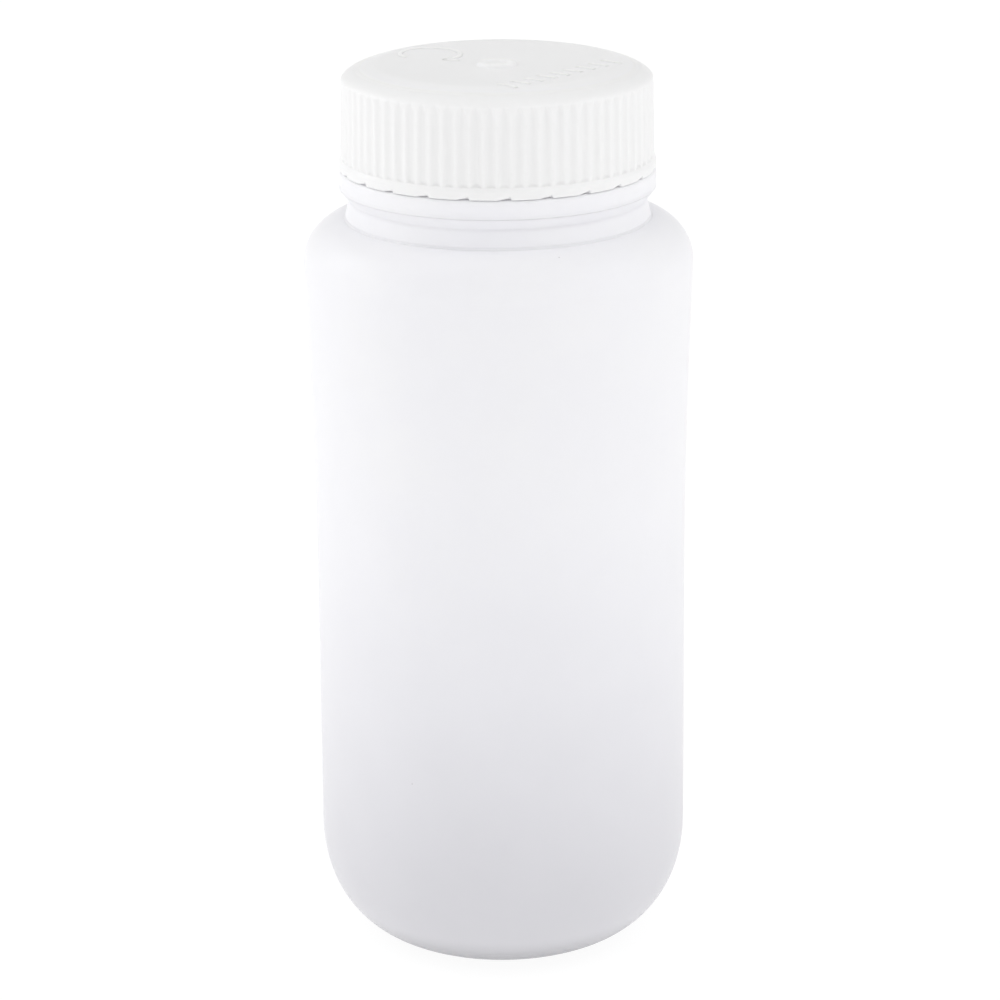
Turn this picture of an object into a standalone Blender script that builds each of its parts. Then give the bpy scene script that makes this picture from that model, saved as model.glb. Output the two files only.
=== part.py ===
"""A 500 ml wide-mouth laboratory reagent bottle with its screw cap and sealing disc.

Metres, +Z up. The origin is the centre of the base, on the surface that the bottle stands on.
The bottle's front faces -Y. A right-hand thread holds the cap: seen from above, the cap turns
anticlockwise to come off, and rises by THREAD_PITCH each turn.
"""

import math

import bmesh
import bpy

MM = 0.001

# The bottle's outer form.
FOOT_INNER_RADIUS = 11.0 * MM
FOOT_OUTER_RADIUS = 16.5 * MM
BASE_RECESS_HEIGHT = 2.2 * MM
BASE_RECESS_SHAPE = ((0.0, 1.0), (0.62, 0.9), (0.9, 0.35))  # shares of its radius and height
CORNER_FOOT_RADIUS = 14.8 * MM
CORNER_HEIGHT = 23.2 * MM
CORNER_EXPONENT = 2.19
CORNER_FIRST_ANGLE = -80
LOWER_RADIUS = 34.87 * MM
FLARE_START = 75.0 * MM
FLARE_GROWTH = 1.41 * MM
FLARE_EXPONENT = 1.7
WALL_HEIGHTS = (75 * MM, 90 * MM, 105 * MM, 119 * MM)
SHOULDER_START = 132.9 * MM
SHOULDER_RADIUS = 8.5 * MM
SHOULDER_END_ANGLE = 85
NECK_BASE_RADIUS = 28.4 * MM
NECK_UPPER_RADIUS = 27.6 * MM
BEAD_HEIGHT = 147.4 * MM
BEAD_CORE_RADIUS = 26.96 * MM
BEAD_BULGE = 2.4 * MM
BEAD_HALF_HEIGHT = 2.9 * MM
BEAD_END_ANGLES = (-62, 68)
BEAD_LOWER_EXPONENT = 1.15  # nearly a straight chamfer
BEAD_UPPER_EXPONENT = 4.0  # nearly square

# The bottle's neck finish and its inside.
FINISH_RADIUS = 24.9 * MM
FINISH_FOOT = 151.0 * MM
FINISH_FILLET = 0.8 * MM
LIP_HEIGHT = 166.1 * MM
LIP_ROUND = 0.6 * MM
BORE_RADIUS = 21.6 * MM
WALL = 1.4 * MM
BASE_WALL = 1.8 * MM
NECK_INNER_RADIUS = 24.6 * MM

# The thread, which the neck and the cap share.
THREAD_PITCH = 25.4 / 6 * MM
THREAD_TURNS = 2.0
THREAD_FOOT = 154.3 * MM
THREAD_START_ANGLE = math.radians(-150)
THREAD_TAPER = math.radians(20)
THREAD_ROOT_WIDTH = 2.0 * MM
THREAD_CREST_WIDTH = 1.1 * MM
NECK_CREST_RADIUS = 26.35 * MM
CAP_CREST_RADIUS = 25.4 * MM
RIDGE_EMBED = 0.5 * MM

# The screw cap.
CAP_FOOT = 150.6 * MM
CAP_RADIUS = 29.0 * MM
CAP_UPPER_RADIUS = 28.8 * MM
CROWN_FOOT = 167.0 * MM
CROWN_WIDTH = 11.9 * MM
CROWN_HEIGHT = 3.5 * MM
CROWN_EXPONENT = 1.86
CROWN_END_ANGLE = 60
DISH_RADIUS = 20.5 * MM
DISH_EDGE_HEIGHT = 170.0 * MM
DISH_MIDDLE_HEIGHT = 169.5 * MM
CAP_BORE_RADIUS = 27.2 * MM
CAP_CEILING = 167.4 * MM
CAP_CEILING_ROUND = 0.6 * MM
BAND_RADIUS = 29.3 * MM
BAND_MIDDLE = 151.7 * MM
BAND_TOP = 152.9 * MM
RIM_ROUND = 0.3 * MM
BAND_STEP = 0.15 * MM
FLUTES = 72
FLUTE_DEPTH = 0.45 * MM
FLUTE_FULL_HEIGHT = 165.6 * MM
FLUTE_TIP_HEIGHT = 167.7 * MM
NOTCHES = 24
NOTCH_HEIGHT = 1.15 * MM
NOTCH_SPAN = math.radians(5)
NOTCH_PHASE = math.radians(-85)
GATE_RING_RADIUS = 3.7 * MM
GATE_SLOPE = 0.6 * MM
GATE_CREST_WIDTH = 0.8 * MM
GATE_DIMPLE_RADIUS = 1.9 * MM
GATE_TOP_HEIGHT = DISH_MIDDLE_HEIGHT + 0.7 * MM
GATE_FLOOR_HEIGHT = DISH_MIDDLE_HEIGHT + 0.15 * MM

# The sealing disc.
DISC_RADIUS = 26.4 * MM
DISC_FOOT = 166.4 * MM
DISC_THICKNESS = 0.7 * MM
DISC_CHAMFER = 0.2 * MM

BOTTLE_SEGMENTS = 48
THREAD_SEGMENTS = 48
DISC_SEGMENTS = 48
GATE_SEGMENTS = 20
JOIN_DISTANCE = 1e-6
TOOL_OVERLAP = 0.5 * MM  # how far a tool shape reaches past the face that it cuts or joins
SHARP_ANGLE = math.radians(35)


def clear_scene():
    for item in list(bpy.data.objects):
        bpy.data.objects.remove(item, do_unlink=True)


def plastic(name, colour, roughness):
    material = bpy.data.materials.new(name)
    material.use_nodes = True
    shader = material.node_tree.nodes["Principled BSDF"]
    shader.inputs["Base Color"].default_value = (*colour, 1.0)
    shader.inputs["Roughness"].default_value = roughness
    shader.inputs["Metallic"].default_value = 0.0
    return material


def new_object(name, mesh, material=None):
    """Puts a mesh in the scene as a smooth-shaded object."""
    item = bpy.data.objects.new(name, mesh)
    bpy.context.collection.objects.link(item)
    if material:
        mesh.materials.append(material)
        mesh.shade_smooth()
        mesh.set_sharp_from_angle(angle=SHARP_ANGLE)
    return item


def finished_mesh(name, work):
    """Turns a bmesh into a mesh with its faces pointing out."""
    bmesh.ops.remove_doubles(work, verts=work.verts, dist=JOIN_DISTANCE)
    bmesh.ops.recalc_face_normals(work, faces=work.faces)
    mesh = bpy.data.meshes.new(name)
    work.to_mesh(mesh)
    work.free()
    return mesh


def turned_mesh(name, outline, segments):
    """Spins an outline of (radius, height) points, which starts and ends on the axis."""
    work = bmesh.new()
    verts = [work.verts.new((radius, 0.0, height)) for radius, height in outline]
    edges = [work.edges.new(pair) for pair in zip(verts, verts[1:])]
    bmesh.ops.spin(
        work,
        geom=verts + edges,
        cent=(0, 0, 0),
        axis=(0, 0, 1),
        angle=math.tau,
        steps=segments,
        use_merge=True,
    )
    return finished_mesh(name, work)


def oval_points(centre, radii, span, steps, exponent=2.0):
    """Points of (radius, height) on the part of an oval within a span of two angles, in degrees."""
    start, end = span
    points = []
    for step in range(steps + 1):
        angle = math.radians(start + (end - start) * step / steps)
        across = math.copysign(abs(math.cos(angle)) ** (2 / exponent), math.cos(angle))
        up = math.copysign(abs(math.sin(angle)) ** (2 / exponent), math.sin(angle))
        points.append((centre[0] + radii[0] * across, centre[1] + radii[1] * up))
    return points


def wall_radius(height):
    """The outer radius of the side wall: straight low down, then flaring to the shoulder."""
    share = (height - FLARE_START) / (SHOULDER_START - FLARE_START)
    return LOWER_RADIUS + FLARE_GROWTH * max(share, 0.0) ** FLARE_EXPONENT


def wall_points(inset, heights):
    return [(wall_radius(height) - inset, height) for height in heights]


def bead_outline():
    """The bead round the neck, under the cap: chamfered below its widest line and full above it."""
    centre = (BEAD_CORE_RADIUS, BEAD_HEIGHT)
    radii = (BEAD_BULGE, BEAD_HALF_HEIGHT)
    lowest, highest = BEAD_END_ANGLES
    lower = oval_points(centre, radii, (lowest, 0), 3, BEAD_LOWER_EXPONENT)
    upper = oval_points(centre, radii, (0, highest), 4, BEAD_UPPER_EXPONENT)
    return lower + upper[1:]


def outside_outline():
    """The bottle's outside, from the middle of the base up to the foot of the screw finish."""
    corner_width = LOWER_RADIUS - CORNER_FOOT_RADIUS
    shoulder_centre = (wall_radius(SHOULDER_START) - SHOULDER_RADIUS, SHOULDER_START)
    recess = [
        (FOOT_INNER_RADIUS * across, BASE_RECESS_HEIGHT * up) for across, up in BASE_RECESS_SHAPE
    ]
    foot = [(FOOT_INNER_RADIUS, 0.0), (FOOT_OUTER_RADIUS, 0.0)]
    corner = oval_points(
        (CORNER_FOOT_RADIUS, CORNER_HEIGHT),
        (corner_width, CORNER_HEIGHT),
        (CORNER_FIRST_ANGLE, 0),
        7,
        CORNER_EXPONENT,
    )
    shoulder = oval_points(
        shoulder_centre, (SHOULDER_RADIUS, SHOULDER_RADIUS), (0, SHOULDER_END_ANGLE), 7
    )
    neck = [(NECK_BASE_RADIUS, SHOULDER_START + SHOULDER_RADIUS)]
    bead = bead_outline()
    bead[0] = (NECK_UPPER_RADIUS, bead[0][1])
    finish = [
        (FINISH_RADIUS + FINISH_FILLET, BEAD_HEIGHT + BEAD_HALF_HEIGHT),
        (FINISH_RADIUS, FINISH_FOOT),
    ]
    return recess + foot + corner + wall_points(0.0, WALL_HEIGHTS) + shoulder + neck + bead + finish


def lip_outline():
    """Over the rounded lip, from the outside in."""
    round_radii = (LIP_ROUND, LIP_ROUND)
    round_height = LIP_HEIGHT - LIP_ROUND
    outer = oval_points((FINISH_RADIUS - LIP_ROUND, round_height), round_radii, (0, 90), 2)
    inner = oval_points((BORE_RADIUS + LIP_ROUND, round_height), round_radii, (90, 180), 2)
    return outer + inner


def inside_outline():
    """The bottle's inside, from the bore down to the middle of the base."""
    corner_width = LOWER_RADIUS - CORNER_FOOT_RADIUS
    shoulder_centre = (wall_radius(SHOULDER_START) - SHOULDER_RADIUS, SHOULDER_START)
    inner_shoulder_radius = SHOULDER_RADIUS - WALL
    bore = [
        (BORE_RADIUS, FINISH_FOOT),
        (NECK_INNER_RADIUS, BEAD_HEIGHT - BEAD_HALF_HEIGHT),
        (NECK_INNER_RADIUS, SHOULDER_START + inner_shoulder_radius),
    ]
    shoulder = oval_points(
        shoulder_centre, (inner_shoulder_radius, inner_shoulder_radius), (90, 0), 5
    )
    corner = oval_points(
        (CORNER_FOOT_RADIUS, CORNER_HEIGHT),
        (corner_width - WALL, CORNER_HEIGHT - BASE_WALL),
        (0, -90),
        5,
        CORNER_EXPONENT,
    )
    base = [
        (FOOT_INNER_RADIUS * across, BASE_RECESS_HEIGHT * up + BASE_WALL)
        for across, up in reversed(BASE_RECESS_SHAPE[:2])
    ]
    return bore + shoulder + wall_points(WALL, reversed(WALL_HEIGHTS)) + corner + base


def thread_ridge(name, root_radius, crest_radius, foot):
    """A closed helical ridge of trapezoid section, whose crest sinks to the root at both ends."""
    outward = 1 if crest_radius > root_radius else -1
    buried = root_radius - outward * RIDGE_EMBED
    sunk = root_radius - outward * RIDGE_EMBED / 2
    steps = round(THREAD_TURNS * THREAD_SEGMENTS)
    work = bmesh.new()
    rows = []
    for step in range(steps + 1):
        turned = math.tau * step / THREAD_SEGMENTS
        from_end = min(turned, THREAD_TURNS * math.tau - turned)
        rise = min(from_end / THREAD_TAPER, 1.0)
        crest = sunk + (crest_radius - sunk) * rise
        middle = foot + THREAD_PITCH * turned / math.tau
        angle = THREAD_START_ANGLE + turned
        section = (
            (buried, middle - THREAD_ROOT_WIDTH / 2),
            (crest, middle - THREAD_CREST_WIDTH / 2),
            (crest, middle + THREAD_CREST_WIDTH / 2),
            (buried, middle + THREAD_ROOT_WIDTH / 2),
        )
        rows.append(
            [work.verts.new((r * math.cos(angle), r * math.sin(angle), z)) for r, z in section]
        )
    for row, following in zip(rows, rows[1:]):
        for i in range(4):
            j = (i + 1) % 4
            work.faces.new((row[i], row[j], following[j], following[i]))
    work.faces.new(rows[0])
    work.faces.new(rows[-1])
    return new_object(name, finished_mesh(name, work))


def cap_outer_rings():
    """(radius, height, flute share) from the rim up to the edge of the dished middle of the top."""
    rings = [
        (BAND_RADIUS - RIM_ROUND, CAP_FOOT, 0.0),
        (BAND_RADIUS, CAP_FOOT + RIM_ROUND, 0.0),
        (BAND_RADIUS, BAND_MIDDLE, 0.0),
        (CAP_RADIUS, BAND_TOP, 0.0),
        (CAP_RADIUS, BAND_TOP + BAND_STEP, 1.0),
        (CAP_UPPER_RADIUS, FLUTE_FULL_HEIGHT, 1.0),
    ]
    centre = (CAP_UPPER_RADIUS - CROWN_WIDTH, CROWN_FOOT)
    radii = (CROWN_WIDTH, CROWN_HEIGHT)
    for radius, height in oval_points(centre, radii, (0, CROWN_END_ANGLE), 5, CROWN_EXPONENT):
        fade = (FLUTE_TIP_HEIGHT - height) / (FLUTE_TIP_HEIGHT - FLUTE_FULL_HEIGHT)
        rings.append((radius, height, min(max(fade, 0.0), 1.0)))
    rings.append((DISH_RADIUS, DISH_EDGE_HEIGHT, 0.0))
    return rings


def cap_shell_mesh():
    """The cap's shell: a fluted outside, a plain bore and a rounded top with a dished middle."""
    columns = 2 * FLUTES
    work = bmesh.new()

    def ring(radius, height, depth=0.0):
        verts = []
        for column in range(columns):
            angle = math.tau * column / columns
            r = radius - depth * (column % 2)
            verts.append(work.verts.new((r * math.cos(angle), r * math.sin(angle), height)))
        return verts

    def bridge(lower, upper):
        for i in range(columns):
            j = (i + 1) % columns
            work.faces.new((lower[i], lower[j], upper[j], upper[i]))

    ceiling_round = oval_points(
        (CAP_BORE_RADIUS - CAP_CEILING_ROUND, CAP_CEILING - CAP_CEILING_ROUND),
        (CAP_CEILING_ROUND, CAP_CEILING_ROUND),
        (90, 0),
        2,
    )
    loops = [ring(*point) for point in ceiling_round]
    loops.append(ring(CAP_BORE_RADIUS, CAP_FOOT + RIM_ROUND))
    loops.append(ring(CAP_BORE_RADIUS + RIM_ROUND, CAP_FOOT))
    for radius, height, share in cap_outer_rings():
        loops.append(ring(radius, height, FLUTE_DEPTH * share))
    for lower, upper in zip(loops, loops[1:]):
        bridge(lower, upper)
    for edge_loop, height in ((loops[0], CAP_CEILING), (loops[-1], DISH_MIDDLE_HEIGHT)):
        middle = work.verts.new((0.0, 0.0, height))
        for i in range(columns):
            work.faces.new((edge_loop[i], edge_loop[(i + 1) % columns], middle))
    return finished_mesh("screw_cap", work)


def gate_ring():
    """The raised ring with a dimple that the moulding gate leaves at the middle of the cap."""
    sunk = DISH_MIDDLE_HEIGHT - TOOL_OVERLAP
    outline = [
        (0.0, sunk),
        (GATE_RING_RADIUS, sunk),
        (GATE_RING_RADIUS, GATE_FLOOR_HEIGHT),
        (GATE_RING_RADIUS - GATE_SLOPE, GATE_TOP_HEIGHT),
        (GATE_RING_RADIUS - GATE_SLOPE - GATE_CREST_WIDTH, GATE_TOP_HEIGHT),
        (GATE_DIMPLE_RADIUS, GATE_FLOOR_HEIGHT),
        (0.0, GATE_FLOOR_HEIGHT),
    ]
    return new_object("gate_ring_tool", turned_mesh("gate_ring_tool", outline, GATE_SEGMENTS))


def rim_notches():
    """Wedges that cut the small ratchet notches into the cap's rim."""
    work = bmesh.new()
    low = CAP_FOOT - TOOL_OVERLAP
    inner, outer = CAP_BORE_RADIUS - TOOL_OVERLAP, BAND_RADIUS + TOOL_OVERLAP
    for notch in range(NOTCHES):
        steep = NOTCH_PHASE + math.tau * notch / NOTCHES
        shallow = steep - NOTCH_SPAN
        section = (
            (shallow, low),
            (steep, low),
            (steep, CAP_FOOT + NOTCH_HEIGHT),
            (shallow, CAP_FOOT),
        )
        sides = [
            [work.verts.new((r * math.cos(a), r * math.sin(a), z)) for a, z in section]
            for r in (inner, outer)
        ]
        for i in range(4):
            j = (i + 1) % 4
            work.faces.new((sides[0][i], sides[0][j], sides[1][j], sides[1][i]))
        work.faces.new(sides[0])
        work.faces.new(sides[1])
    return new_object("rim_notch_tool", finished_mesh("rim_notch_tool", work))


def boolean(item, tool, operation):
    """Joins or cuts with a tool shape, which itself isn't part of the object."""
    modifier = item.modifiers.new(tool.name, "BOOLEAN")
    modifier.operation = operation
    modifier.solver = "EXACT"
    modifier.object = tool
    tool.hide_render = True
    tool.display_type = "WIRE"


def make_bottle_body(material):
    outline = outside_outline() + lip_outline() + inside_outline()
    mesh = turned_mesh("bottle_body", outline, BOTTLE_SEGMENTS)
    body = new_object("bottle_body", mesh, material)
    thread = thread_ridge("neck_thread_tool", FINISH_RADIUS, NECK_CREST_RADIUS, THREAD_FOOT)
    boolean(body, thread, "UNION")
    return body


def make_screw_cap(material, turning_axis):
    cap = new_object("screw_cap", cap_shell_mesh(), material)
    foot = THREAD_FOOT - THREAD_PITCH / 2
    thread = thread_ridge("cap_thread_tool", CAP_BORE_RADIUS, CAP_CREST_RADIUS, foot)
    boolean(cap, thread, "UNION")
    boolean(cap, gate_ring(), "UNION")
    boolean(cap, rim_notches(), "DIFFERENCE")
    cap.parent = turning_axis
    return cap


def make_seal_disc(material, turning_axis):
    """A thin disc with chamfered edges that the cap carries, which seals on the bottle's lip."""
    top = DISC_FOOT + DISC_THICKNESS
    outline = [
        (0.0, DISC_FOOT),
        (DISC_RADIUS - DISC_CHAMFER, DISC_FOOT),
        (DISC_RADIUS, DISC_FOOT + DISC_CHAMFER),
        (DISC_RADIUS, top - DISC_CHAMFER),
        (DISC_RADIUS - DISC_CHAMFER, top),
        (0.0, top),
    ]
    disc = new_object("seal_disc", turned_mesh("seal_disc", outline, DISC_SEGMENTS), material)
    disc.parent = turning_axis
    return disc


def main():
    clear_scene()
    bottle_plastic = plastic("bottle_plastic", (0.90, 0.91, 0.94), 0.42)
    cap_plastic = plastic("cap_plastic", (0.84, 0.86, 0.88), 0.35)
    disc_plastic = plastic("disc_plastic", (0.86, 0.87, 0.86), 0.5)

    turning_axis = bpy.data.objects.new("cap_turning_axis", None)
    bpy.context.collection.objects.link(turning_axis)

    make_bottle_body(bottle_plastic)
    make_screw_cap(cap_plastic, turning_axis)
    make_seal_disc(disc_plastic, turning_axis)


main()
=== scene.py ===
"""The looks of a 500 ml wide-mouth laboratory bottle: its milky body, its fluted screw cap and its seal.

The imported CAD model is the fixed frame. Each visible moulding is turned here as one closed skin, finer than
the CAD solid that it stands for, with its thread, flutes and notches as real shape.
Angles are seen from above, anticlockwise from +X; the front of the bottle faces -Y.
"""

import math

import bpy
import numpy as np
from mathutils import Matrix, Vector


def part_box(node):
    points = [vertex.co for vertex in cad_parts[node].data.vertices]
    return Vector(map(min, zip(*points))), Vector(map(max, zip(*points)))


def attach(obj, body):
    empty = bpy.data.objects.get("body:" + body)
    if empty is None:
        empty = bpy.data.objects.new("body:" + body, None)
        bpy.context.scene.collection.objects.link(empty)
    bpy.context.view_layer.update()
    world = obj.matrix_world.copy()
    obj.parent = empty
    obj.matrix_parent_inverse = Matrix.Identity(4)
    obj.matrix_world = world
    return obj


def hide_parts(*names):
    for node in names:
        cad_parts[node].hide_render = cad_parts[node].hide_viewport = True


MM = 0.001

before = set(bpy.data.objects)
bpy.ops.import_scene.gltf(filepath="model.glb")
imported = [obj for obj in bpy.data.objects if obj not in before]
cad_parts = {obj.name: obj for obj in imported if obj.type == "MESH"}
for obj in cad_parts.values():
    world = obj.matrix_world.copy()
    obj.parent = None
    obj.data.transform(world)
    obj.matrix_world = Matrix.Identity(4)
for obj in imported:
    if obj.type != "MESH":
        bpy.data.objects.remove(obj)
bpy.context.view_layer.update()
BOTTLE_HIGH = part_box("bottle_body")[1]
CAP_LOW, CAP_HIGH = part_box("screw_cap")

# The bottle. Its widest radius and its lip come from the frame.
WIDEST_RADIUS = BOTTLE_HIGH.x
LIP_HEIGHT = BOTTLE_HIGH.z
FOOT_INNER_RADIUS = 11.0 * MM
FOOT_OUTER_RADIUS = 16.5 * MM
BASE_RECESS_HEIGHT = 2.2 * MM
RECESS_EXPONENT = 2.6
PINCH_SEAM_HEIGHT = 0.3 * MM
PINCH_SEAM_WIDTH = 0.6 * MM
CORNER_FOOT_RADIUS = 14.8 * MM
CORNER_HEIGHT = 23.2 * MM
CORNER_EXPONENT = 2.19
FLARE_START = 75.0 * MM
FLARE_GROWTH = 1.41 * MM
FLARE_EXPONENT = 1.7
LOWER_RADIUS = WIDEST_RADIUS - FLARE_GROWTH
SHOULDER_START = LIP_HEIGHT - 33.2 * MM
SHOULDER_RADIUS = 8.5 * MM
SHOULDER_TOP = SHOULDER_START + SHOULDER_RADIUS
NECK_BASE_RADIUS = 28.4 * MM
NECK_WAIST_RADIUS = 27.6 * MM
NECK_INNER_RADIUS = 24.6 * MM
BEAD_HEIGHT = LIP_HEIGHT - 18.7 * MM
BEAD_CORE_RADIUS = 26.96 * MM
BEAD_BULGE = 2.4 * MM
BEAD_HALF_HEIGHT = 2.9 * MM
BEAD_HEAD_HEIGHT = 3.17 * MM
BEAD_LOWER_EXPONENT = 1.2
BEAD_UPPER_EXPONENT = 8.0
FINISH_RADIUS = 24.9 * MM
FINISH_FOOT = LIP_HEIGHT - 15.1 * MM
LIP_ROUND = 0.6 * MM
BORE_RADIUS = 21.6 * MM
WALL = 1.4 * MM
BASE_WALL = 1.8 * MM
SPLIT_LINE_WIDTH = 0.34 * MM
SPLIT_LINE_HEIGHT = 0.11 * MM

# The thread, shared by the neck and the cap.
THREAD_PITCH = 25.4 / 6 * MM
THREAD_TURNS = 2.0
THREAD_FOOT = LIP_HEIGHT - 11.8 * MM
THREAD_START_ANGLE = math.radians(-150)
THREAD_TAPER = math.radians(20)
THREAD_ROOT_WIDTH = 2.0 * MM
THREAD_CREST_WIDTH = 1.1 * MM
NECK_CREST_RADIUS = 26.35 * MM
CAP_CREST_RADIUS = 25.4 * MM

# The cap. Its rim, its widest radius and the top of its gate ring come from the frame.
CAP_FOOT = CAP_LOW.z
BAND_RADIUS = CAP_HIGH.x
GATE_TOP_HEIGHT = CAP_HIGH.z
DISH_MIDDLE_HEIGHT = GATE_TOP_HEIGHT - 0.7 * MM
DISH_EDGE_HEIGHT = DISH_MIDDLE_HEIGHT + 0.5 * MM
DISH_RADIUS = 21.5 * MM
CAP_RADIUS = 29.0 * MM
CAP_UPPER_RADIUS = 28.8 * MM
CROWN_FOOT = DISH_MIDDLE_HEIGHT - 2.5 * MM
CROWN_WIDTH = 11.9 * MM
CROWN_HEIGHT = 3.5 * MM
CROWN_EXPONENT = 1.86
CROWN_END_ANGLE = 60
CAP_BORE_RADIUS = 27.2 * MM
CAP_CEILING = DISH_MIDDLE_HEIGHT - 2.1 * MM
CAP_CEILING_ROUND = 0.6 * MM
BAND_MIDDLE = CAP_FOOT + 1.1 * MM
RIM_TOP = BAND_MIDDLE + 0.4 * MM
BAND_TOP = CAP_FOOT + 2.3 * MM
BAND_EDGE = (BAND_TOP, BAND_TOP + 0.4 * MM)
FLUTES = 72
FLUTE_SAMPLES = 8
FLUTE_HALF_WIDTH = 0.38
FLUTE_DEPTH = 0.30 * MM
FLUTE_FULL_HEIGHT = DISH_MIDDLE_HEIGHT - 3.9 * MM
FLUTE_TIP_HEIGHT = DISH_MIDDLE_HEIGHT - 1.75 * MM
NOTCHES = 24
NOTCH_HEIGHT = 0.75 * MM
NOTCH_SPAN = math.radians(5)
NOTCH_PHASE = math.radians(-85)
PANEL_LINE_RADII = (25.3 * MM, 26.1 * MM)
PANEL_LINE_DEPTH = 0.11 * MM
GATE_RADIUS = 3.7 * MM

# The raised marks on the cap's top, a turning arrow and a row of bars. They stay just under the top
# of the gate ring.
MARK_HEIGHT = GATE_TOP_HEIGHT - DISH_EDGE_HEIGHT - 0.01 * MM
MARK_SUNK = 0.15 * MM
MARK_WIDTH = 0.9 * MM
ARROW_CENTRE = (-12.3 * MM, 9.0 * MM)
ARROW_RADIUS = 5.6 * MM
ARROW_SPAN = (math.radians(-60), math.radians(215))
ARROW_HEAD = 2.6 * MM
ARROW_HEAD_ANGLE = math.radians(38)
BAR_COUNT = 9
BAR_LENGTH = 4.6 * MM
BAR_ROW_START = (1.8 * MM, -21.5 * MM)
BAR_ROW_END = (21.0 * MM, -0.5 * MM)

# The plastics. Colours are shares of white, and tones are added to them. The bottle's colour holds painted
# shade:
# it deepens below BOTTLE_SHADE_HEIGHT towards its foot, and once more, as a painted contact shadow, below
# FOOT_SHADE_HEIGHT.
BOTTLE_SHADED_FOOT_COLOUR = (0.62, 0.615, 0.645)
BOTTLE_COLOUR = (0.89, 0.888, 0.92)
BOTTLE_SHADE_HEIGHT = 100.0 * MM
FOOT_SHADE_EXPONENT = 1.5
BOTTLE_ROUGHNESS = 0.42
BOTTLE_SCATTER = 1.1 * MM
CAP_ROUGHNESS = 0.38
CAP_CLEARNESS = 0.03
CAP_SCATTER = 0.5 * MM
THREAD_STEP_PHASE = 164.0 * MM / THREAD_PITCH + 0.25
# Painted light and shade of the thread seen through the skirt.
THREAD_SHADE_TONE = 0.036
# Painted light in the grooves of the skirt.
FLUTE_LIGHT_TONE = 0.022
# Where the painted shade on the cap's top fades out.
TOP_SHADE_RADII = (24.6 * MM, 25.4 * MM)
CAP_COLOUR = (0.985, 0.985, 0.985)
MARK_COLOUR = (0.995, 0.995, 0.995)
MARK_ROUGHNESS = 0.35
MARK_SCATTER = 0.3 * MM
DISC_COLOUR = (0.95, 0.95, 0.95)
DISC_ROUGHNESS = 0.5
DISC_CLEARNESS = 0.1
# Painted shade on the cap's top, over the bottle's dark inside.
TOP_SHADE_COLOUR = (0.965, 0.965, 1.0)
TOP_CLEARNESS = 0.02
# Painted shade on the crown.
CROWN_SHADE_TONE = -0.02
# Painted contact shadow at the foot, down to this share of the colour at the floor.
FOOT_SHADE = 0.5
FOOT_SHADE_HEIGHT = 9.0 * MM
PATCH_LAPS = 0.653
PATCH_EDGE = (0.02, 0.07)
# Painted light on the bands at the front left.
PATCH_LIGHT_TONE = 0.02
FLUTE_TIP_EXPONENT = 1.6
GROOVE_EDGE = (-0.06, 0.03)
GROOVE_TIP_FADE = (0.7, 1.0)
CLOUD_SCALE = 70.0
CLOUD_RANGE = (0.992, 1.008)
NOISE_MIDDLE = (0.3, 0.7)
SPECK_SCALE = 180.0
SPECK_RADII = (0.015, 0.035)
SPECK_CHANCE = 0.05
SPECK_TONE = 0.7
GRAIN_SCALE = 2400.0
GRAIN_HEIGHT = 0.02 * MM
WAVE_SCALE = 120.0
WAVE_HEIGHT = 0.12 * MM
RELIEF_STRENGTH = 0.6
SHINE_SCALE = 60.0
SHINE_SPREAD = 0.02
PLASTIC_IOR = 1.5
GLOSS_LEVEL = 0.35
GLOSS_FADE = (0.45, 0.9)

# The stage: a white floor, a light tent, two softboxes and the camera. Lengths are in metres, and
# light levels are shares of white. The tent's level is a sum of these parts in each direction.
FLOOR_HALF = 4.0
FLOOR_COLOUR = (0.15, 0.15, 0.15, 1)
FLOOR_GLOW = 0.90
TENT_LEVEL = 0.78
TENT_SIDES = 0.30
TENT_ABOVE = 0.08
TENT_BEHIND = -0.28
TENT_BEHIND_START = 0.2
TENT_RIGHT = -0.04
SOFTBOX_SIZE = (0.35, 0.5)
SOFTBOX_AIM_HEIGHT = 0.1
LEFT_SOFTBOX = ((-0.84, 0.33, 0.44), 1.15)
RIGHT_SOFTBOX = ((0.80, -0.02, 0.60), 0.7)
CAMERA_PLACE = (-0.0001, -0.750, 0.3164)
CAMERA_LENS = 149.1
CAMERA_PITCH = math.radians(90 - 17.08)
CAMERA_ROLL = math.radians(-0.5)

BOTTLE_COLUMNS = 288
CAP_COLUMNS = FLUTES * FLUTE_SAMPLES


def smooth_step(share):
    share = np.clip(share, 0.0, 1.0)
    return share * share * (3 - 2 * share)


def oval(centre, radii, span, steps, exponent=2.0):
    """(radius, height) points on the part of an oval within a span of two angles, in degrees."""
    angle = np.radians(np.linspace(*span, steps + 1))
    across = np.sign(np.cos(angle)) * np.abs(np.cos(angle)) ** (2 / exponent)
    up = np.sign(np.sin(angle)) * np.abs(np.sin(angle)) ** (2 / exponent)
    return list(zip(centre[0] + radii[0] * across, centre[1] + radii[1] * up))


def line(start, end, steps):
    """(radius, height) points from start to end, both included."""
    return [
        (start[0] + (end[0] - start[0]) * share, start[1] + (end[1] - start[1]) * share)
        for share in np.linspace(0, 1, steps + 1)
    ]


def angles(columns):
    return np.arange(columns) * math.tau / columns


def new_piece(name, points, faces, material):
    mesh = bpy.data.meshes.new(name)
    mesh.from_pydata(points, [], faces)
    mesh.shade_smooth()
    mesh.materials.append(material)
    piece = bpy.data.objects.new(name, mesh)
    bpy.context.scene.collection.objects.link(piece)
    return piece


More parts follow.
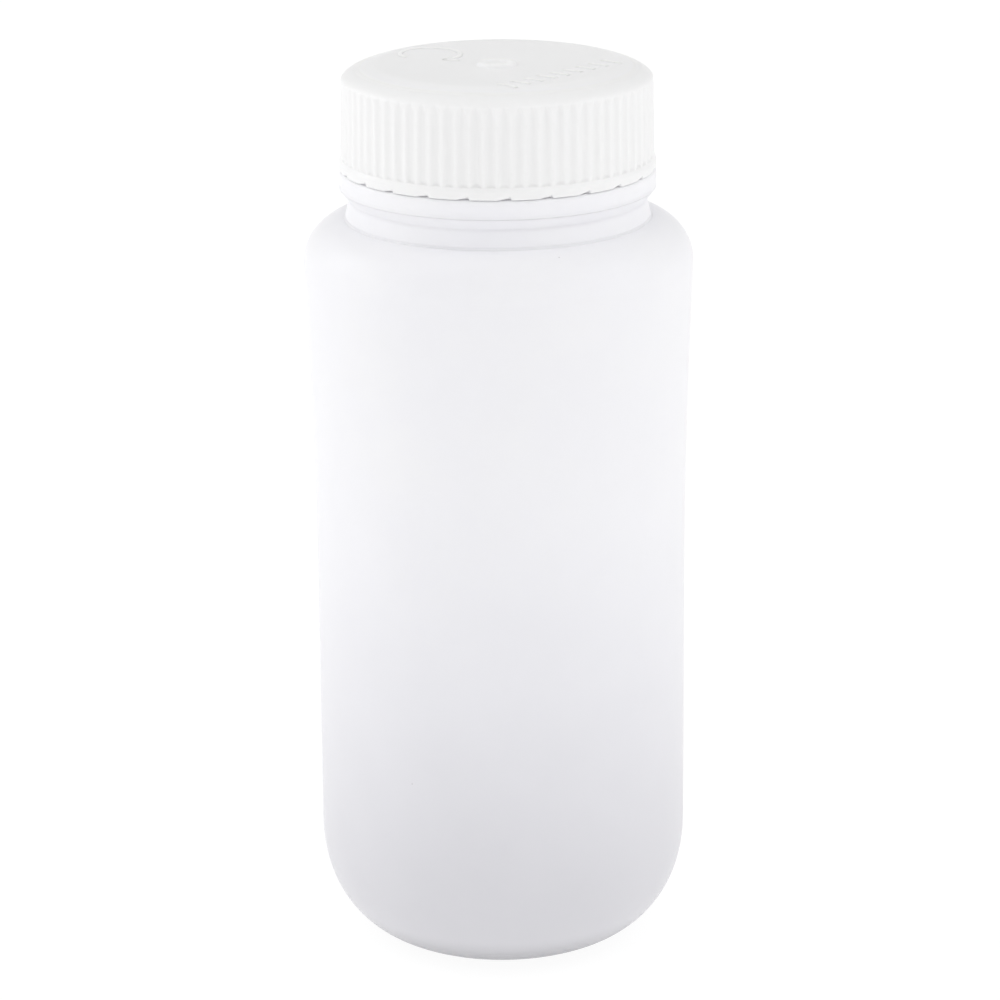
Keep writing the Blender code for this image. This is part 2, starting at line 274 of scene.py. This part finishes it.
def turned_skin(name, rings, columns, material):
    """A closed skin from rings of (radius, height), each a number or one value for each column.

    The first and last rings lie on the axis, and each becomes a single point.
    """
    turn = angles(columns)
    across, sideways = np.cos(turn), np.sin(turn)
    points = [np.array([[0.0, 0.0, rings[0][1]]])]
    for radius, height in rings[1:-1]:
        radius = np.broadcast_to(radius, columns)
        height = np.broadcast_to(height, columns)
        points.append(np.stack([radius * across, radius * sideways, height], axis=1))
    points.append(np.array([[0.0, 0.0, rings[-1][1]]]))
    points = np.concatenate(points)

    here = np.arange(columns)
    beyond = (here + 1) % columns
    faces = [(0, 1 + j, 1 + i) for i, j in zip(here, beyond)]
    for ring in range(len(rings) - 3):
        lower = 1 + ring * columns
        upper = lower + columns
        quads = np.stack([lower + here, lower + beyond, upper + beyond, upper + here], axis=1)
        faces.extend(map(tuple, quads.tolist()))
    last = len(points) - 1
    edge = last - columns
    faces.extend((edge + i, edge + j, last) for i, j in zip(here, beyond))
    faces = [tuple(map(int, face)) for face in faces]
    return new_piece(name, points.tolist(), faces, material)


def thread_share(columns, height, foot):
    """How far the thread stands out at each column at this height: 0 at its root, 1 at its crest."""
    turn = (angles(columns) - THREAD_START_ANGLE) % math.tau
    flank = (THREAD_ROOT_WIDTH - THREAD_CREST_WIDTH) / 2
    share = np.zeros(columns)
    for lap in range(math.ceil(THREAD_TURNS)):
        turned = turn + lap * math.tau
        from_end = np.minimum(turned, THREAD_TURNS * math.tau - turned)
        rise = smooth_step(from_end / THREAD_TAPER)
        offset = np.abs(height - foot - THREAD_PITCH * turned / math.tau)
        ridge = smooth_step((THREAD_ROOT_WIDTH / 2 - offset) / flank)
        share = np.maximum(share, ridge * rise)
    return share


def wall_radius(height):
    share = max((height - FLARE_START) / (SHOULDER_START - FLARE_START), 0.0)
    return LOWER_RADIUS + FLARE_GROWTH * share**FLARE_EXPONENT


def split_line(radius, height, outward=(1.0, 0.0)):
    """The fine raised line that a joint in the mould leaves, as five points up the outline."""
    across = (-outward[1], outward[0])
    shape = ((-0.5, 0.0), (-0.2, 0.8), (0.0, 1.0), (0.2, 0.8), (0.5, 0.0))
    return [
        (
            radius + across[0] * SPLIT_LINE_WIDTH * along + outward[0] * SPLIT_LINE_HEIGHT * up,
            height + across[1] * SPLIT_LINE_WIDTH * along + outward[1] * SPLIT_LINE_HEIGHT * up,
        )
        for along, up in shape
    ]


def base_rings():
    """The recess under the base, which the pinched seam of the blown tube crosses along X."""
    away = np.abs(np.sin(angles(BOTTLE_COLUMNS)))
    rings = []
    recess = oval((0.0, 0.0), (FOOT_INNER_RADIUS, BASE_RECESS_HEIGHT), (90, 0), 14, RECESS_EXPONENT)
    for radius, height in recess:
        seam = smooth_step(1 - radius * away / PINCH_SEAM_WIDTH)
        depth = PINCH_SEAM_HEIGHT * smooth_step(height / BASE_RECESS_HEIGHT * 2)
        rings.append((radius, height - depth * seam))
    return [(0.0, BASE_RECESS_HEIGHT - PINCH_SEAM_HEIGHT)] + rings[1:]


def outside_rings():
    """The bottle's outside, from the foot up to the ledge under the screw finish."""
    corner_width = LOWER_RADIUS - CORNER_FOOT_RADIUS
    shoulder_centre = (WIDEST_RADIUS - SHOULDER_RADIUS, SHOULDER_START)
    wall_heights = np.linspace(CORNER_HEIGHT, SHOULDER_START, 32)[1:-1]
    foot = line((FOOT_INNER_RADIUS + 0.4 * MM, 0.0), (FOOT_OUTER_RADIUS, 0.0), 3)
    corner = oval(
        (CORNER_FOOT_RADIUS, CORNER_HEIGHT), (corner_width, CORNER_HEIGHT), (-80, 0), 26, CORNER_EXPONENT
    )
    wall = [(wall_radius(height), height) for height in wall_heights]
    shoulder = oval(shoulder_centre, (SHOULDER_RADIUS, SHOULDER_RADIUS), (0, 83), 22)
    neck_foot = split_line(NECK_BASE_RADIUS, SHOULDER_TOP + 0.05 * MM, (0.8, 0.6))
    neck = line(
        (NECK_BASE_RADIUS - 0.15 * MM, SHOULDER_TOP + 0.5 * MM),
        (NECK_WAIST_RADIUS, BEAD_HEIGHT - 0.87 * BEAD_HALF_HEIGHT),
        5,
    )
    bead_centre, bead_radii = (BEAD_CORE_RADIUS, BEAD_HEIGHT), (BEAD_BULGE, BEAD_HALF_HEIGHT)
    bead_foot = oval(bead_centre, bead_radii, (-59, -14), 10, BEAD_LOWER_EXPONENT)
    bead_head = oval(bead_centre, (BEAD_BULGE, BEAD_HEAD_HEIGHT), (2, 72), 18, BEAD_UPPER_EXPONENT)
    joint_radius = BEAD_CORE_RADIUS + BEAD_BULGE - SPLIT_LINE_HEIGHT
    joint = split_line(joint_radius, BEAD_HEIGHT - 0.25 * MM)
    ledge_width = BEAD_CORE_RADIUS + 0.9 * MM - FINISH_RADIUS
    ledge_radii = (ledge_width, FINISH_FOOT - BEAD_HEIGHT - BEAD_HEAD_HEIGHT)
    ledge = oval((FINISH_RADIUS, FINISH_FOOT - ledge_radii[1]), ledge_radii, (20, 85), 7)
    return foot + corner + wall + shoulder + neck_foot + neck + bead_foot + joint + bead_head + ledge


def finish_rings():
    """The threaded finish and the rounded lip."""
    rings = []
    lip_start = LIP_HEIGHT - LIP_ROUND
    for height in np.linspace(FINISH_FOOT, lip_start, 70)[1:]:
        share = thread_share(BOTTLE_COLUMNS, height, THREAD_FOOT)
        rings.append((FINISH_RADIUS + (NECK_CREST_RADIUS - FINISH_RADIUS) * share, height))
    round_radii = (LIP_ROUND, LIP_ROUND)
    rings += oval((FINISH_RADIUS - LIP_ROUND, lip_start), round_radii, (15, 90), 5)
    rings += oval((BORE_RADIUS + LIP_ROUND, lip_start), round_radii, (90, 180), 6)
    return rings


def inside_rings():
    """The bottle's inside, from the bore down to the middle of the base."""
    corner_width = LOWER_RADIUS - CORNER_FOOT_RADIUS
    inner_shoulder = SHOULDER_RADIUS - WALL
    wall_heights = np.linspace(SHOULDER_START, CORNER_HEIGHT, 18)[1:-1]
    neck_top = BEAD_HEIGHT - BEAD_HALF_HEIGHT
    rings = line((BORE_RADIUS, LIP_HEIGHT - 2 * MM), (BORE_RADIUS, FINISH_FOOT), 5)
    rings += line((BORE_RADIUS + 0.2 * MM, FINISH_FOOT - 0.5 * MM), (NECK_INNER_RADIUS, neck_top), 5)
    rings += line((NECK_INNER_RADIUS, neck_top - 1 * MM), (NECK_INNER_RADIUS, SHOULDER_TOP - WALL), 3)
    shoulder_centre = (WIDEST_RADIUS - SHOULDER_RADIUS, SHOULDER_START)
    rings += oval(shoulder_centre, (inner_shoulder, inner_shoulder), (90, 0), 14)
    rings += [(wall_radius(height) - WALL, height) for height in wall_heights]
    corner_radii = (corner_width - WALL, CORNER_HEIGHT - BASE_WALL)
    rings += oval((CORNER_FOOT_RADIUS, CORNER_HEIGHT), corner_radii, (0, -90), 18, CORNER_EXPONENT)
    recess_radii = (FOOT_INNER_RADIUS, BASE_RECESS_HEIGHT)
    rings += oval((0.0, BASE_WALL), recess_radii, (10, 90), 8, RECESS_EXPONENT)
    return rings


def rim_lift():
    """How far the cap's rim is notched upwards at each column: ramps that drop back steeply."""
    period = math.tau / NOTCHES
    before_drop = (NOTCH_PHASE - angles(CAP_COLUMNS)) % period
    return NOTCH_HEIGHT * np.clip(1 - before_drop / NOTCH_SPAN, 0.0, 1.0)


def flute_cut(height):
    """How deep the flutes cut at each column at this height. Their tops run out in pointed arches."""
    fade = (height - FLUTE_FULL_HEIGHT) / (FLUTE_TIP_HEIGHT - FLUTE_FULL_HEIGHT)
    arch = 1 - min(max(fade, 0.0), 1.0) ** FLUTE_TIP_EXPONENT
    if arch <= 0:
        return np.zeros(CAP_COLUMNS)
    across = (np.arange(CAP_COLUMNS) % FLUTE_SAMPLES) / FLUTE_SAMPLES
    share = np.abs(across - 0.5) / (FLUTE_HALF_WIDTH * arch)
    return FLUTE_DEPTH * math.sqrt(arch) * np.clip(1 - share**2, 0.0, 1.0) ** 0.7


def crown_rings(span, steps):
    centre = (CAP_UPPER_RADIUS - CROWN_WIDTH, CROWN_FOOT)
    return oval(centre, (CROWN_WIDTH, CROWN_HEIGHT), span, steps, CROWN_EXPONENT)


def crown_height(radius):
    """The height of the cap's top surface at this radius: a shallow dish inside a rounded crown."""
    if radius <= DISH_RADIUS:
        share = smooth_step(radius / DISH_RADIUS)
        return DISH_MIDDLE_HEIGHT + (DISH_EDGE_HEIGHT - DISH_MIDDLE_HEIGHT) * float(share)
    outline = [(DISH_RADIUS, DISH_EDGE_HEIGHT)] + crown_rings((CROWN_END_ANGLE, 0), 60)
    return float(np.interp(radius, [point[0] for point in outline], [point[1] for point in outline]))


def cap_inside_rings():
    ceiling_centre = (CAP_BORE_RADIUS - CAP_CEILING_ROUND, CAP_CEILING - CAP_CEILING_ROUND)
    rings = line((0.0, CAP_CEILING), (ceiling_centre[0] - 0.5 * MM, CAP_CEILING), 6)
    rings += oval(ceiling_centre, (CAP_CEILING_ROUND, CAP_CEILING_ROUND), (90, 0), 4)
    for height in np.linspace(ceiling_centre[1], RIM_TOP, 46)[1:]:
        share = thread_share(CAP_COLUMNS, height, THREAD_FOOT - THREAD_PITCH / 2)
        rings.append((CAP_BORE_RADIUS - (CAP_BORE_RADIUS - CAP_CREST_RADIUS) * share, height))
    return rings


def cap_rim_rings():
    """The notched rim. Each row is a radius, a share of the height to the rim's top, and how much of
    the notches it takes: they are cut in the outer half of the rim.
    """
    lift = rim_lift()
    rim_height = RIM_TOP - CAP_FOOT
    rings = []
    for radius, share, notched in (
        (CAP_BORE_RADIUS + 0.1 * MM, 0.35, 0.0),
        (CAP_BORE_RADIUS + 0.3 * MM, 0.05, 0.0),
        (CAP_BORE_RADIUS + 0.5 * MM, 0.0, 0.0),
        (CAP_BORE_RADIUS + 1.1 * MM, 0.0, 0.05),
        (BAND_RADIUS - 0.4 * MM, 0.0, 0.75),
        (BAND_RADIUS - 0.15 * MM, 0.04, 0.95),
        (BAND_RADIUS - 0.03 * MM, 0.09, 1.0),
        (BAND_RADIUS, 0.22, 1.0),
    ):
        rings.append((radius, CAP_FOOT + rim_height * share + lift * notched * (1 - share)))
    rings += line((BAND_RADIUS, RIM_TOP), (CAP_RADIUS - 0.03 * MM, BAND_TOP), 5)
    return rings


def cap_outside_rings():
    """The fluted skirt and the crown, with two fine lines pressed into it."""
    rings = [(CAP_RADIUS - flute_cut(BAND_TOP), BAND_TOP + 0.06 * MM)]
    low, high = BAND_TOP + 0.8 * MM, FLUTE_FULL_HEIGHT
    for share in np.linspace(0, 1, 5):
        height = low + (high - low) * share
        rings.append((CAP_RADIUS + (CAP_UPPER_RADIUS - CAP_RADIUS) * share - flute_cut(height), height))
    for height in np.linspace(high, CROWN_FOOT, 5)[1:-1]:
        rings.append((CAP_UPPER_RADIUS - flute_cut(height), height))
    for radius, height in crown_rings((0, CROWN_END_ANGLE), 34):
        groove = max(1 - abs(radius - line_radius) / (0.3 * MM) for line_radius in PANEL_LINE_RADII)
        height -= PANEL_LINE_DEPTH * float(smooth_step(groove))
        rings.append((radius - flute_cut(height), height))
    for radius in np.linspace(DISH_RADIUS, GATE_RADIUS + 0.3 * MM, 9):
        rings.append((radius, crown_height(radius)))
    return rings


def gate_rings():
    """The ring with a dimple that the moulding gate leaves at the middle of the cap."""
    profile = (
        (3.7, -0.6),
        (3.55, -0.25),
        (3.2, -0.04),
        (2.85, 0.0),
        (2.5, -0.06),
        (2.15, -0.3),
        (1.9, -0.5),
        (1.3, -0.55),
        (0.9, -0.3),
        (0.45, -0.22),
        (0.0, -0.22),
    )
    return [(radius * MM, GATE_TOP_HEIGHT + height * MM) for radius, height in profile]


def raised_strip(points, faces, path):
    """Adds a low rounded rib along a path of (x, y) points on the cap's top."""
    section = ((-0.5, -1), (-0.5, 0.25), (-0.3, 0.8), (0.0, 1.0), (0.3, 0.8), (0.5, 0.25), (0.5, -1))
    first = len(points)
    size = len(section)
    for place, (x, y) in enumerate(path):
        before = path[max(place - 1, 0)]
        after = path[min(place + 1, len(path) - 1)]
        along = Vector((after[0] - before[0], after[1] - before[1])).normalized()
        end = place in (0, len(path) - 1)
        for across, up in section:
            if end and up > 0:
                up *= 0.3
            px = x - along.y * across * MARK_WIDTH
            py = y + along.x * across * MARK_WIDTH
            rise = up * MARK_HEIGHT if up > 0 else -MARK_SUNK
            points.append((px, py, crown_height(math.hypot(px, py)) + rise))
    for place in range(len(path) - 1):
        low, high = first + place * size, first + (place + 1) * size
        for i in range(size):
            j = (i + 1) % size
            faces.append((low + j, low + i, high + i, high + j))
    faces.append(tuple(first + i for i in range(size)))
    faces.append(tuple(len(points) - 1 - i for i in range(size)))


def marks_on_top(name, paths, material):
    points, faces = [], []
    for path in paths:
        raised_strip(points, faces, path)
    piece = new_piece(name, points, faces, material)
    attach(piece, "cap")


def straight_path(start, end, steps):
    return [
        (start[0] + (end[0] - start[0]) * share, start[1] + (end[1] - start[1]) * share)
        for share in np.linspace(0, 1, steps + 1)
    ]


def arrow_paths():
    """A curved arrow that shows which way the cap turns to close."""
    arc = [
        (
            ARROW_CENTRE[0] + ARROW_RADIUS * math.cos(turn),
            ARROW_CENTRE[1] + ARROW_RADIUS * math.sin(turn),
        )
        for turn in np.linspace(*reversed(ARROW_SPAN), 49)
    ]
    tip = Vector(arc[-1])
    back = (Vector(arc[-2]) - tip).normalized()
    paths = [arc]
    for side in (-1, 1):
        wing = Matrix.Rotation(ARROW_HEAD_ANGLE * side, 2) @ back
        paths.append(straight_path(tuple(tip + wing * ARROW_HEAD), tuple(tip - back * 0.4 * MM), 4))
    return paths


def bar_paths():
    """A row of short bars across the line from the front of the cap's top to its right."""
    start, end = Vector(BAR_ROW_START), Vector(BAR_ROW_END)
    row = (end - start).normalized()
    half = Vector((-row.y, row.x)) * BAR_LENGTH / 2
    paths = []
    for place in range(BAR_COUNT):
        middle = start.lerp(end, place / (BAR_COUNT - 1))
        paths.append(straight_path(tuple(middle - half), tuple(middle + half), 6))
    return paths


def add_node(tree, kind, inputs=None, **settings):
    """A shader node with its settings made, and each input given a value or linked to a socket."""
    node = tree.nodes.new(kind)
    for name, value in settings.items():
        setattr(node, name, value)
    for name, value in (inputs or {}).items():
        if isinstance(value, bpy.types.NodeSocket):
            tree.links.new(value, node.inputs[name])
        else:
            node.inputs[name].default_value = value
    return node


def maths(tree, operation, first, second=0.0):
    return add_node(tree, "ShaderNodeMath", {0: first, 1: second}, operation=operation).outputs[0]


def mapped(tree, value, source, target, smooth=False):
    """A value carried from one range to another, and held at its ends."""
    inputs = {
        "Value": value,
        "From Min": source[0],
        "From Max": source[1],
        "To Min": target[0],
        "To Max": target[1],
    }
    kind = "SMOOTHSTEP" if smooth else "LINEAR"
    return add_node(tree, "ShaderNodeMapRange", inputs, interpolation_type=kind).outputs["Result"]


def noise(tree, place, scale, detail=3.0):
    inputs = {"Vector": place, "Scale": scale, "Detail": detail}
    return add_node(tree, "ShaderNodeTexNoise", inputs).outputs["Fac"]


def plain_colour(tree, colour):
    return add_node(tree, "ShaderNodeCombineXYZ", dict(enumerate(colour))).outputs[0]


def blended(tree, share, first, second):
    """The first colour where share is 0, and the second where it is 1."""
    inputs = {0: share, 4: first, 5: second}
    return add_node(tree, "ShaderNodeMix", inputs, data_type="VECTOR").outputs[1]


def scaled_colour(tree, colour, factor):
    inputs = {0: colour, "Scale": factor}
    return add_node(tree, "ShaderNodeVectorMath", inputs, operation="SCALE").outputs[0]


def specks(tree, place):
    """1 nearly everywhere, and lower in a few tiny specks of dust moulded into the surface."""
    cells = add_node(tree, "ShaderNodeTexVoronoi", {"Vector": place, "Scale": SPECK_SCALE})
    chosen = add_node(tree, "ShaderNodeSeparateColor", {0: cells.outputs["Color"]}).outputs[0]
    dot = mapped(tree, cells.outputs["Distance"], SPECK_RADII, (1.0, 0.0))
    picked = maths(tree, "GREATER_THAN", chosen, 1.0 - SPECK_CHANCE)
    return mapped(tree, maths(tree, "MULTIPLY", dot, picked), (0.0, 1.0), (1.0, SPECK_TONE))


def thread_shade_tone(tree, split, laps):
    """Painted light and shade of the thread that shows through the skirt: a step in tone along each turn that
    fades upwards.
    """
    climb = maths(tree, "DIVIDE", split.outputs["Z"], THREAD_PITCH)
    turned = maths(tree, "SUBTRACT", maths(tree, "SUBTRACT", climb, laps), THREAD_STEP_PHASE)
    fade = maths(tree, "SUBTRACT", 1.0, maths(tree, "FRACT", turned))
    below_crown = mapped(tree, split.outputs["Z"], (FLUTE_FULL_HEIGHT, CROWN_FOOT), (1.0, 0.0))
    above_band = mapped(tree, split.outputs["Z"], BAND_EDGE, (0.0, 1.0))
    amount = maths(tree, "ADD", thread_light_patch(tree, laps), THREAD_SHADE_TONE)
    skirt = maths(tree, "MULTIPLY", below_crown, above_band)
    return maths(tree, "MULTIPLY", maths(tree, "MULTIPLY", fade, amount), skirt)


def flute_light_tone(tree, split, laps):
    """A painted lighter tone in the grooves of the skirt, light that passes through the thinner plastic
    there.
    """
    tips = mapped(tree, split.outputs["Z"], (FLUTE_FULL_HEIGHT, FLUTE_TIP_HEIGHT), (0.0, 1.0))
    fade = maths(tree, "POWER", tips, FLUTE_TIP_EXPONENT)
    half_width = mapped(tree, fade, (0.0, 1.0), (FLUTE_HALF_WIDTH, 0.0))
    across = maths(tree, "FRACT", maths(tree, "MULTIPLY", laps, FLUTES))
    off_middle = maths(tree, "ABSOLUTE", maths(tree, "SUBTRACT", across, 0.5))
    groove = mapped(tree, maths(tree, "SUBTRACT", off_middle, half_width), GROOVE_EDGE, (1.0, 0.0))
    above_band = mapped(tree, split.outputs["Z"], BAND_EDGE, (0.0, FLUTE_LIGHT_TONE))
    below_tips = mapped(tree, fade, GROOVE_TIP_FADE, (1.0, 0.0))
    return maths(tree, "MULTIPLY", maths(tree, "MULTIPLY", groove, above_band), below_tips)


def top_shade_share(tree, place, split):
    """Where painted shade falls: 1 on the cap's top inside the ring of the bottle's lip, over the bottle's
    dark inside, and 0 elsewhere.
    """
    flat = add_node(tree, "ShaderNodeVectorMath", {0: place, 1: (1, 1, 0)}, operation="MULTIPLY")
    away = add_node(tree, "ShaderNodeVectorMath", {0: flat.outputs[0]}, operation="LENGTH")
    inside = mapped(tree, away.outputs["Value"], TOP_SHADE_RADII, (1.0, 0.0), smooth=True)
    gate_edge = (GATE_RADIUS - 0.2 * MM, GATE_RADIUS + 0.2 * MM)
    off_gate = mapped(tree, away.outputs["Value"], gate_edge, (0.0, 1.0))
    above = mapped(tree, split.outputs["Z"], (CROWN_FOOT, CROWN_FOOT + 1 * MM), (0.0, 1.0))
    return maths(tree, "MULTIPLY", maths(tree, "MULTIPLY", inside, above), off_gate)


def crown_shade_tone(tree, split):
    """Painted shade: a duller tone in the crown, which is thicker than the skirt."""
    return mapped(tree, split.outputs["Z"], (FLUTE_FULL_HEIGHT, FLUTE_TIP_HEIGHT), (0.0, CROWN_SHADE_TONE))


def thread_light_patch(tree, laps):
    """Painted light: how much stronger the painted bands are where the thread starts, at the front left."""
    away = maths(tree, "ABSOLUTE", maths(tree, "SUBTRACT", laps, PATCH_LAPS))
    return mapped(tree, away, PATCH_EDGE, (PATCH_LIGHT_TONE, 0.0), smooth=True)


def colour_with_height_shade(tree, height, colours, heights):
    """Runs from the first of colours at the first of heights to the second at the second. On the bottle this
    is painted shade, darker towards its foot.
    """
    lowness = mapped(tree, height, heights, (1.0, 0.0))
    low_share = maths(tree, "POWER", lowness, FOOT_SHADE_EXPONENT)
    low, high = (plain_colour(tree, colour) for colour in colours)
    return blended(tree, low_share, high, low)


def cap_tones(tree, split, top, colour):
    """The cap's colour, with tones that stand in for the light that passes through its plastic."""
    # Painted shade on the top.
    colour = blended(tree, top, colour, plain_colour(tree, TOP_SHADE_COLOUR))
    turn = maths(tree, "ARCTAN2", split.outputs["Y"], split.outputs["X"])
    laps = maths(tree, "ADD", maths(tree, "DIVIDE", turn, math.tau), 1.0)
    tones = maths(tree, "ADD", thread_shade_tone(tree, split, laps), flute_light_tone(tree, split, laps))
    tones = maths(tree, "ADD", tones, crown_shade_tone(tree, split))
    return scaled_colour(tree, colour, maths(tree, "ADD", tones, 1.0))


def moulded_colour_with_foot_shade(tree, place, height, colour):
    """A colour with painted shade at its foot, faint clouding and a few specks."""
    # Painted contact shadow: the lowest millimetres darken down to FOOT_SHADE of the colour.
    foot = mapped(tree, height, (0.0, FOOT_SHADE_HEIGHT), (FOOT_SHADE, 1.0), smooth=True)
    colour = scaled_colour(tree, colour, foot)
    cloud = mapped(tree, noise(tree, place, CLOUD_SCALE, 4.0), NOISE_MIDDLE, CLOUD_RANGE)
    return scaled_colour(tree, colour, maths(tree, "MULTIPLY", cloud, specks(tree, place)))


def fine_relief(tree, place):
    """The normal of a moulded surface, with its grain and its faint waves."""
    grain = maths(tree, "MULTIPLY", noise(tree, place, GRAIN_SCALE), GRAIN_HEIGHT)
    waves = maths(tree, "MULTIPLY", noise(tree, place, WAVE_SCALE, 1.0), WAVE_HEIGHT)
    relief = maths(tree, "ADD", grain, waves)
    inputs = {"Height": relief, "Strength": RELIEF_STRENGTH, "Distance": 1.0}
    return add_node(tree, "ShaderNodeBump", inputs).outputs["Normal"]


def plastic(name, colours, heights, roughness, scatter, clearness=0.0, cap=False):
    """A milky moulded plastic: light scatters inside it, and a share of it goes straight through."""
    material = bpy.data.materials.new(name)
    material.use_nodes = True
    tree = material.node_tree
    tree.nodes.clear()
    place = add_node(tree, "ShaderNodeTexCoord").outputs["Object"]
    split = add_node(tree, "ShaderNodeSeparateXYZ", {0: place})
    height = split.outputs["Z"]
    colour = colour_with_height_shade(tree, height, colours, heights)
    if cap:
        # The cap's top gets painted shade of the bottle's dark inside.
        top = top_shade_share(tree, place, split)
        colour = cap_tones(tree, split, top, colour)
        clearness = mapped(tree, top, (0.0, 1.0), (clearness, TOP_CLEARNESS))

    shine_range = (roughness - SHINE_SPREAD, roughness + SHINE_SPREAD)
    facing = add_node(tree, "ShaderNodeLayerWeight", {"Blend": 0.5}).outputs["Facing"]
    surface_inputs = {
        "Base Color": moulded_colour_with_foot_shade(tree, place, height, colour),
        "Roughness": mapped(tree, noise(tree, place, SHINE_SCALE), NOISE_MIDDLE, shine_range),
        "IOR": PLASTIC_IOR,
        "Specular IOR Level": mapped(tree, facing, GLOSS_FADE, (GLOSS_LEVEL, 0.0)),
        "Normal": fine_relief(tree, place),
        "Subsurface Weight": 1.0,
        "Subsurface Radius": (1.0, 1.0, 1.0),
        "Subsurface Scale": scatter,
    }
    shader = add_node(tree, "ShaderNodeBsdfPrincipled", surface_inputs).outputs[0]
    clear = add_node(tree, "ShaderNodeBsdfTransparent").outputs[0]
    shader = add_node(tree, "ShaderNodeMixShader", {0: clearness, 1: shader, 2: clear}).outputs[0]
    add_node(tree, "ShaderNodeOutputMaterial", {"Surface": shader})
    return material


def make_bottle():
    material = plastic(
        "milky_polyethylene",
        # The foot colour is painted shade, darker towards the foot.
        colours=(BOTTLE_SHADED_FOOT_COLOUR, BOTTLE_COLOUR),
        heights=(0.0, BOTTLE_SHADE_HEIGHT),
        roughness=BOTTLE_ROUGHNESS,
        scatter=BOTTLE_SCATTER,
    )
    rings = base_rings() + outside_rings() + finish_rings() + inside_rings()
    skin = turned_skin("bottle_skin", rings, BOTTLE_COLUMNS, material)
    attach(skin, "bottle")
    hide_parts("bottle_body")


def make_cap():
    heights = (CAP_FOOT, GATE_TOP_HEIGHT)
    material = plastic(
        "clear_milky_polypropylene",
        colours=(CAP_COLOUR, CAP_COLOUR),
        heights=heights,
        roughness=CAP_ROUGHNESS,
        scatter=CAP_SCATTER,
        clearness=CAP_CLEARNESS,
        cap=True,
    )
    mark_plastic = plastic(
        "raised_milky_polypropylene",
        colours=(MARK_COLOUR, MARK_COLOUR),
        heights=heights,
        roughness=MARK_ROUGHNESS,
        scatter=MARK_SCATTER,
    )
    rings = cap_inside_rings() + cap_rim_rings() + cap_outside_rings() + gate_rings()
    skin = turned_skin("cap_skin", rings, CAP_COLUMNS, material)
    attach(skin, "cap")
    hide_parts("screw_cap")
    marks_on_top("turning_arrow", arrow_paths(), mark_plastic)
    marks_on_top("bar_row", bar_paths(), mark_plastic)


def finish_disc():
    material = plastic(
        "soft_disc_polyethylene",
        colours=(DISC_COLOUR, DISC_COLOUR),
        heights=(0.0, LIP_HEIGHT),
        roughness=DISC_ROUGHNESS,
        scatter=CAP_SCATTER,
        clearness=DISC_CLEARNESS,
    )
    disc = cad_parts["seal_disc"]
    disc.data.materials.clear()
    disc.data.materials.append(material)


def make_floor():
    half = FLOOR_HALF
    corners = [(-half, -half, 0), (half, -half, 0), (half, half, 0), (-half, half, 0)]
    material = bpy.data.materials.new("white_floor")
    material.use_nodes = True
    surface = material.node_tree.nodes["Principled BSDF"]
    surface.inputs["Base Color"].default_value = FLOOR_COLOUR
    surface.inputs["Roughness"].default_value = 0.9
    surface.inputs["Specular IOR Level"].default_value = 0.0
    surface.inputs["Emission Color"].default_value = (1, 1, 1, 1)
    surface.inputs["Emission Strength"].default_value = FLOOR_GLOW
    new_piece("floor", corners, [(0, 1, 2, 3)], material)


def soft_light(name, direction, power):
    """A rectangular softbox a metre from the bottle, in this direction, facing it."""
    light = bpy.data.lights.new(name, "AREA")
    light.shape = "RECTANGLE"
    light.size, light.size_y = SOFTBOX_SIZE
    light.energy = power
    lamp = bpy.data.objects.new(name, light)
    toward = Vector(direction).normalized()
    lamp.location = Vector((0, 0, SOFTBOX_AIM_HEIGHT)) + toward
    lamp.rotation_euler = (-toward).to_track_quat("-Z", "Y").to_euler()
    bpy.context.scene.collection.objects.link(lamp)


def make_lights():
    """A light tent that is brightest at the sides and above, and two softboxes at the sides."""
    world = bpy.data.worlds.new("studio")
    bpy.context.scene.world = world
    world.use_nodes = True
    tree = world.node_tree
    direction = add_node(tree, "ShaderNodeTexCoord").outputs["Generated"]
    split = add_node(tree, "ShaderNodeSeparateXYZ", {0: direction})
    side = maths(tree, "MULTIPLY", maths(tree, "ABSOLUTE", split.outputs["X"]), TENT_SIDES)
    above = maths(tree, "MULTIPLY", maths(tree, "MAXIMUM", split.outputs["Z"], 0.0), TENT_ABOVE)
    past_start = maths(tree, "ADD", split.outputs["Y"], TENT_BEHIND_START)
    behind = maths(tree, "MULTIPLY", maths(tree, "MAXIMUM", past_start, 0.0), TENT_BEHIND)
    right = maths(tree, "MULTIPLY", split.outputs["X"], TENT_RIGHT)
    level = TENT_LEVEL
    for part in (side, above, behind, right):
        level = maths(tree, "ADD", level, part)
    sky = tree.nodes["Background"]
    sky.inputs["Color"].default_value = (1, 1, 1, 1)
    tree.links.new(level, sky.inputs["Strength"])
    soft_light("left_softbox", *LEFT_SOFTBOX)
    soft_light("right_softbox", *RIGHT_SOFTBOX)


def make_camera():
    lens = bpy.data.cameras.new("camera")
    lens.sensor_width = 36
    lens.lens = CAMERA_LENS
    lens.clip_start = 0.01
    camera = bpy.data.objects.new("camera", lens)
    turn = Matrix.Rotation(CAMERA_PITCH, 4, "X") @ Matrix.Rotation(CAMERA_ROLL, 4, "Z")
    camera.matrix_world = Matrix.Translation(CAMERA_PLACE) @ turn
    bpy.context.scene.collection.objects.link(camera)
    bpy.context.scene.camera = camera


make_camera()
make_bottle()
make_cap()
finish_disc()
make_floor()
make_lights()
bpy.context.scene.view_settings.view_transform = "Standard"
